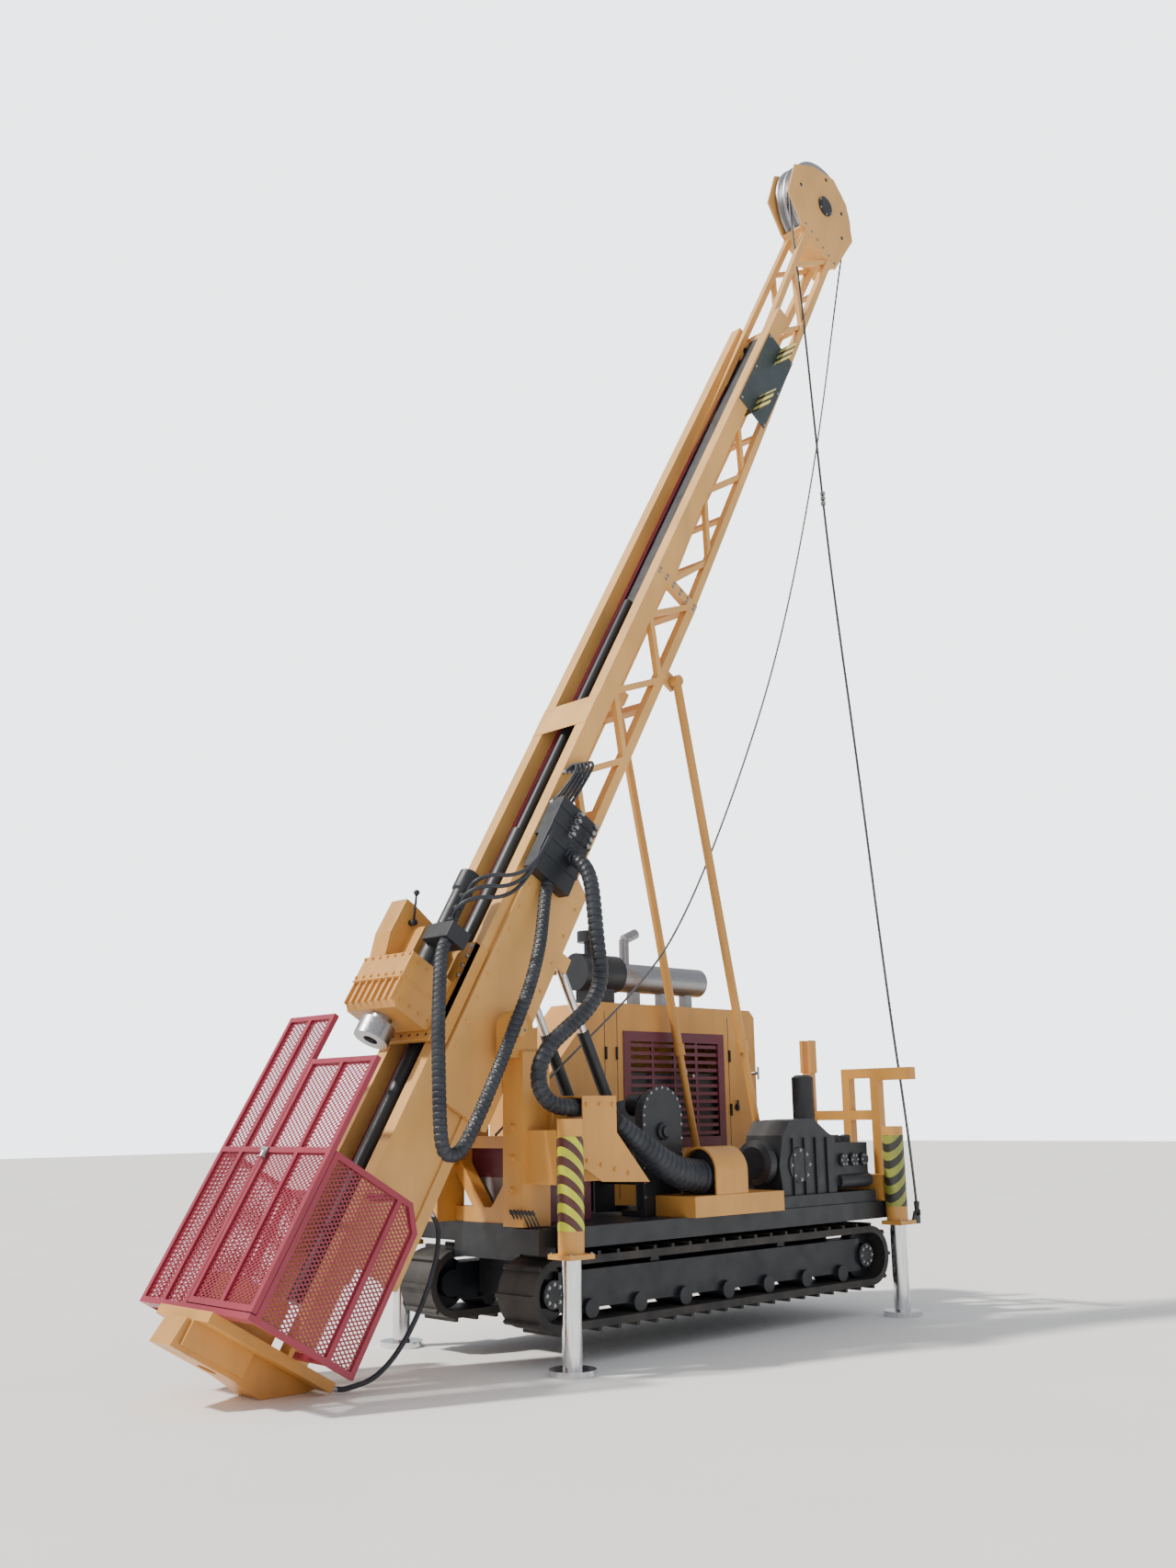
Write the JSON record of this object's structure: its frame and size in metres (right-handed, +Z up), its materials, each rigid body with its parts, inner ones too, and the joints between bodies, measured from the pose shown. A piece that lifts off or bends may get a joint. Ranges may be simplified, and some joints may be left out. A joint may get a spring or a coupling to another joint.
{
  "type": "crawler-mounted core drilling rig",
  "caption": "Crawler-mounted core drilling rig with leaning lattice mast, red mesh guard, drill head, back stays, engine hood, winches, mud pump and striped jacks.",
  "frame": {"origin": "on the ground under the middle of the bounding box", "axes": "+Z up, +X from the drilling end to the rear, +Y towards the engine side; the mast leans towards +X at 60 degrees"},
  "size_m": [7.264, 2.0698, 11.1447],
  "materials": {
    "yellow_paint": "semi-gloss construction paint, warm yellow",
    "mast_paint": "semi-gloss paint, warm yellow, bleached by the sun",
    "guard_paint": "gloss maroon red paint",
    "grille_paint": "maroon red paint",
    "black_paint": "satin black paint",
    "slate_paint": "satin slate paint",
    "track_steel": "worn track steel",
    "chrome_rod": "hard chrome",
    "silencer": "heat-stained steel",
    "cast": "painted casting",
    "rod_steel": "bright steel"
  },
  "bodies": {
    "base": {"track_near": "track_steel", "track_far": "track_steel", "track_frame_near": "black_paint", "track_frame_far": "black_paint", "chassis": "black_paint", "front_frame": "yellow_paint", "rear_outriggers": "yellow_paint", "hood": "yellow_paint", "hood_grille": "grille_paint", "engine_block": "cast", "air_cleaner": "black_paint", "muffler": "silencer", "winch_case": "black_paint", "wireline_housing": "yellow_paint", "mud_pump": "black_paint", "rear_frame": "yellow_paint", "valve_bank": "black_paint", "front_tank": "grille_paint"},
    "jack_front_near": {"jack_front_near": "chrome_rod"},
    "jack_front_far": {"jack_front_far": "chrome_rod"},
    "jack_rear_near": {"jack_rear_near": "chrome_rod"},
    "jack_rear_far": {"jack_rear_far": "chrome_rod"},
    "hoist_drum": {"hoist_drum": "black_paint"},
    "wireline_drum": {"wireline_drum": "black_paint"},
    "tilt": {"tilt_frame": "mast_paint"},
    "tilt_barrels": {"tilt_barrels": "black_paint"},
    "tilt_rods": {"tilt_rods": "chrome_rod"},
    "mast": {"lower_mast": "mast_paint", "upper_mast": "mast_paint", "hazard_panel": "slate_paint", "crown": "mast_paint", "feed_cylinder": "black_paint", "mast_foot": "yellow_paint", "guard": "guard_paint"},
    "crown_sheave": {"crown_sheave": "rod_steel"},
    "head": {"drill_head": "yellow_paint", "head_motors": "black_paint"},
    "chuck": {"chuck": "rod_steel"},
    "guard_door": {"guard_door": "guard_paint"},
    "stay_rods": {"stay_rods": "yellow_paint"},
    "stay_tubes": {"stay_tubes": "yellow_paint"}
  },
  "joints": [
    {"name": "jack_front_near_stroke", "type": "slide", "parent": "base", "child": "jack_front_near", "axis": [0, 0, 1], "range_m": [0, 0.5]},
    {"name": "jack_front_far_stroke", "type": "slide", "parent": "base", "child": "jack_front_far", "axis": [0, 0, 1], "range_m": [0, 0.5]},
    {"name": "jack_rear_near_stroke", "type": "slide", "parent": "base", "child": "jack_rear_near", "axis": [0, 0, 1], "range_m": [0, 0.5]},
    {"name": "jack_rear_far_stroke", "type": "slide", "parent": "base", "child": "jack_rear_far", "axis": [0, 0, 1], "range_m": [0, 0.5]},
    {"name": "mast_tilt", "type": "hinge", "parent": "base", "child": "tilt", "pos_m": [-1.39, 0, 2.15], "axis": [0, -1, 0], "range_deg": [-15, 30]},
    {"name": "mast_slide", "type": "slide", "parent": "tilt", "child": "mast", "axis": [0.5, 0, 0.866], "range_m": [0, 1.1]},
    {"name": "head_feed", "type": "slide", "parent": "mast", "child": "head", "axis": [0.5, 0, 0.866], "range_m": [0, 3.5]},
    {"name": "chuck_turn", "type": "hinge", "parent": "head", "child": "chuck", "pos_m": [-2.16715, 0, 2.18074], "axis": [0.5, 0, 0.866], "continuous": true},
    {"name": "crown_sheave_turn", "type": "hinge", "parent": "mast", "child": "crown_sheave", "pos_m": [3.14096, 0, 10.67465], "axis": [0, 1, 0], "continuous": true},
    {"name": "guard_door_swing", "type": "hinge", "parent": "mast", "child": "guard_door", "pos_m": [-3.01039, -0.62, 1.22421], "axis": [0.5, 0, 0.866], "range_deg": [0, 110]},
    {"name": "hoist_drum_turn", "type": "hinge", "parent": "base", "child": "hoist_drum", "pos_m": [-0.01, 0, 1.45], "axis": [0, 1, 0], "continuous": true},
    {"name": "wireline_drum_turn", "type": "hinge", "parent": "base", "child": "wireline_drum", "pos_m": [0.31, -0.7, 1.17], "axis": [1, 0, 0], "continuous": true},
    {"name": "tilt_barrels_swing", "type": "hinge", "parent": "base", "child": "tilt_barrels", "pos_m": [0.01, 0, 1.1], "axis": [0, -1, 0], "range_deg": [-3, 5]},
    {"name": "tilt_rods_stroke", "type": "slide", "parent": "tilt_barrels", "child": "tilt_rods", "axis": [-0.4446, 0, 0.8957], "range_m": [-0.25, 0.45]},
    {"name": "stay_rods_swing", "type": "hinge", "parent": "base", "child": "stay_rods", "pos_m": [1.334, 0, 1.01], "axis": [0, -1, 0], "range_deg": [-10, 20]},
    {"name": "stay_tubes_stroke", "type": "slide", "parent": "stay_rods", "child": "stay_tubes", "axis": [-0.2198, 0, 0.9756], "range_m": [-0.7, 1.3]}
  ],
  "couplings": [
    {"joint": "tilt_barrels_swing", "follows": "mast_tilt", "ratio": 0.15},
    {"joint": "tilt_rods_stroke", "follows": "mast_tilt", "m_per_rad": 0.75},
    {"joint": "stay_rods_swing", "follows": "mast_tilt", "ratio": 0.57},
    {"joint": "stay_tubes_stroke", "follows": "mast_tilt", "m_per_rad": 2.25}
  ]
}
